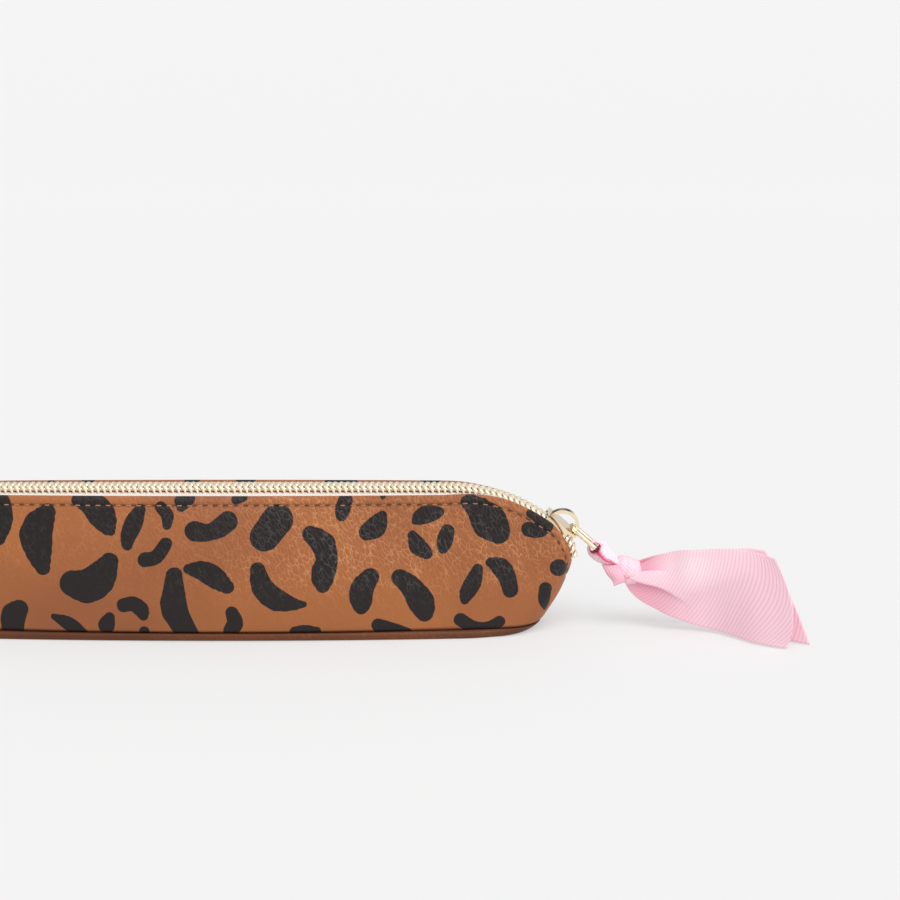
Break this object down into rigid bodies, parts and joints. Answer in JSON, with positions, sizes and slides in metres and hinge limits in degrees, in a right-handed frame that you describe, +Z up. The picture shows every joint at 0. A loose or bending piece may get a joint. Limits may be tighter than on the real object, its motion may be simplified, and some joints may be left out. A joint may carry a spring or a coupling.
{
  "type": "zipped pen case",
  "caption": "Slim soft pen case with a printed leather-look shell, a curved coil zip along the top and a slider with a wire link and a knotted ribbon pull.",
  "frame": {"origin": "middle of the base, on the surface that the case stands on", "axes": "+X along the case towards the end where the slider rests, -Y towards the front panel, +Z up"},
  "size_m": [0.2656, 0.0376, 0.0424],
  "materials": {
    "printed_leather": "pebbled tan imitation leather with a black animal print",
    "plain_leather": "pebbled brown imitation leather",
    "board": "plain stiffener board",
    "lining": "plain woven lining",
    "zip_tape": "woven zip tape",
    "gold_coil": "pale gold metallised coil",
    "gold_metal": "polished pale gold plating",
    "pink_ribbon": "ribbed grosgrain ribbon"
  },
  "bodies": {
    "case": {"front_panel": "printed_leather", "back_panel": "printed_leather", "base_panel": "plain_leather", "base_board": "board", "front_lining": "lining", "back_lining": "lining", "base_lining": "lining", "front_zip_tape": "zip_tape", "back_zip_tape": "zip_tape", "front_coil": "gold_coil", "back_coil": "gold_coil"},
    "slider": {"slider_body": "gold_metal", "slider_bail": "gold_metal"},
    "puller": {"pull_link": "gold_metal"},
    "ribbon_pull": {"ribbon": "pink_ribbon"}
  },
  "joints": [
    {"name": "slider_travel", "type": "hinge", "parent": "case", "child": "slider", "pos_m": [0.065, 0, -0.0047], "axis": [0, -1, 0], "range_deg": [0, 42], "deforming": ["front_coil", "back_coil"]},
    {"name": "puller_swing", "type": "hinge", "parent": "slider", "child": "puller", "pos_m": [0.10008, 0, 0.02992], "axis": [0, -1, 0], "range_deg": [0, 95]},
    {"name": "ribbon_swing", "type": "hinge", "parent": "puller", "child": "ribbon_pull", "pos_m": [0.10758, 0, 0.02316], "axis": [0, -1, 0], "range_deg": [0, 40]}
  ]
}
